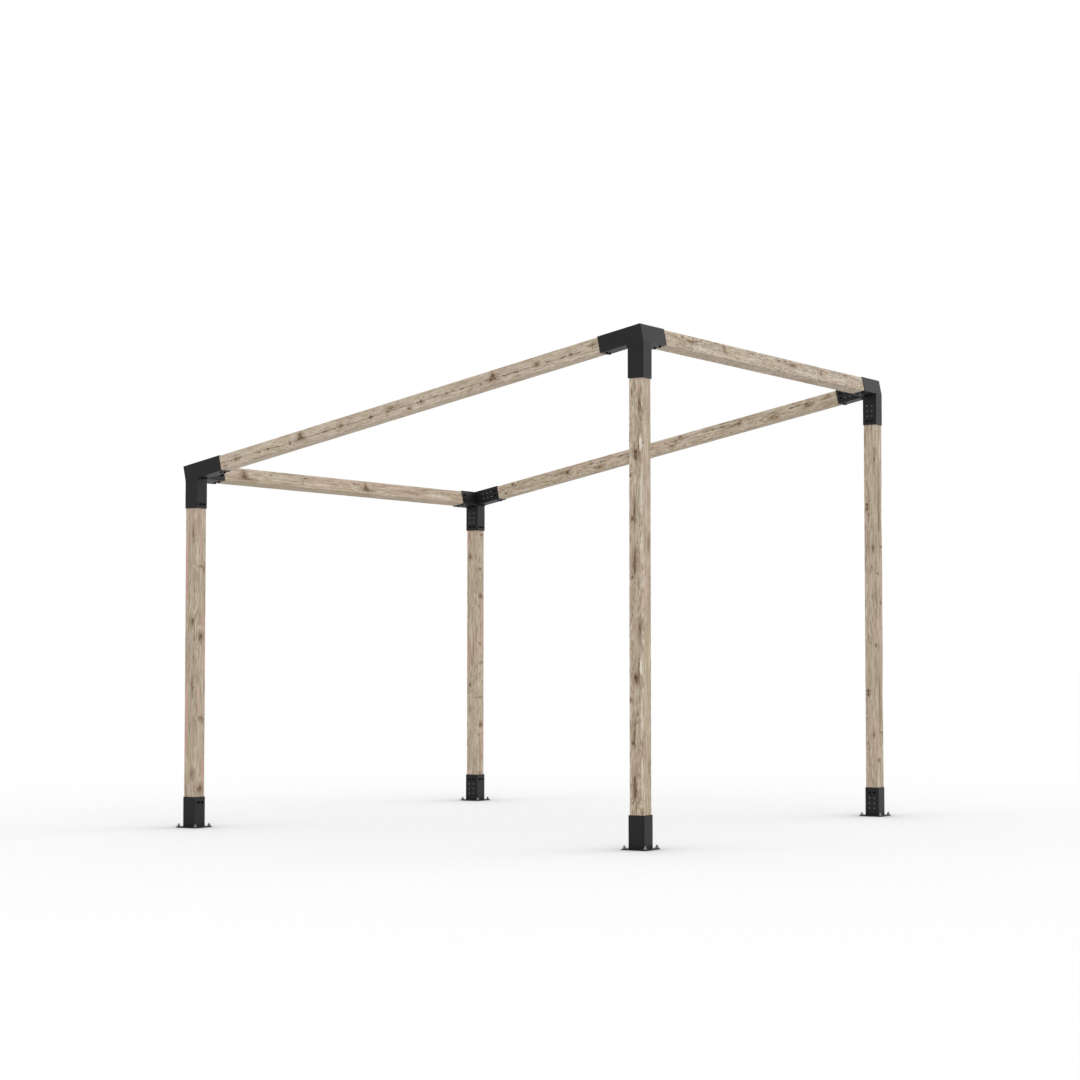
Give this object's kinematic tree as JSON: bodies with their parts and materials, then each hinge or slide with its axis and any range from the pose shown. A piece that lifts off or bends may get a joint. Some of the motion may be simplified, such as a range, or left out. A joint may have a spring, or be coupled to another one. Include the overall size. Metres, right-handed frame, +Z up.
{
  "type": "timber pergola frame",
  "caption": "Open square pergola of planed square timber: posts and a roof frame pitched to one side, joined by black steel three-way corner brackets and bolted base sleeves.",
  "frame": {"origin": "on the ground at the centre of the square of four posts", "axes": "+Z up; +X towards the high side of the roof frame; front is -Y, so the high posts are at +X and the low posts at -X"},
  "size_m": [3.302, 3.302, 2.8757],
  "materials": {
    "timber_post": "planed pale softwood, lightly weathered, with knots",
    "timber_beam": "planed pale softwood, lightly weathered, with knots",
    "black_steel": "matte black powder coat on formed sheet",
    "zinc_fixings": "bright zinc plated screws, nuts, washers and studs"
  },
  "bodies": {
    "root": {"front_right_base": "black_steel", "front_right_base_clamp": "black_steel", "front_right_post": "timber_post", "front_right_corner_outer": "black_steel", "front_right_corner_inner": "black_steel", "front_left_base": "black_steel", "front_left_base_clamp": "black_steel", "front_left_post": "timber_post", "front_left_corner_outer": "black_steel", "front_left_corner_inner": "black_steel", "back_right_base": "black_steel", "back_right_base_clamp": "black_steel", "back_right_post": "timber_post", "back_right_corner_outer": "black_steel", "back_right_corner_inner": "black_steel", "back_left_base": "black_steel", "back_left_base_clamp": "black_steel", "back_left_post": "timber_post", "back_left_corner_outer": "black_steel", "back_left_corner_inner": "black_steel", "front_beam": "timber_beam", "back_beam": "timber_beam", "left_beam": "timber_beam", "right_beam": "timber_beam"}
  },
  "joints": []
}
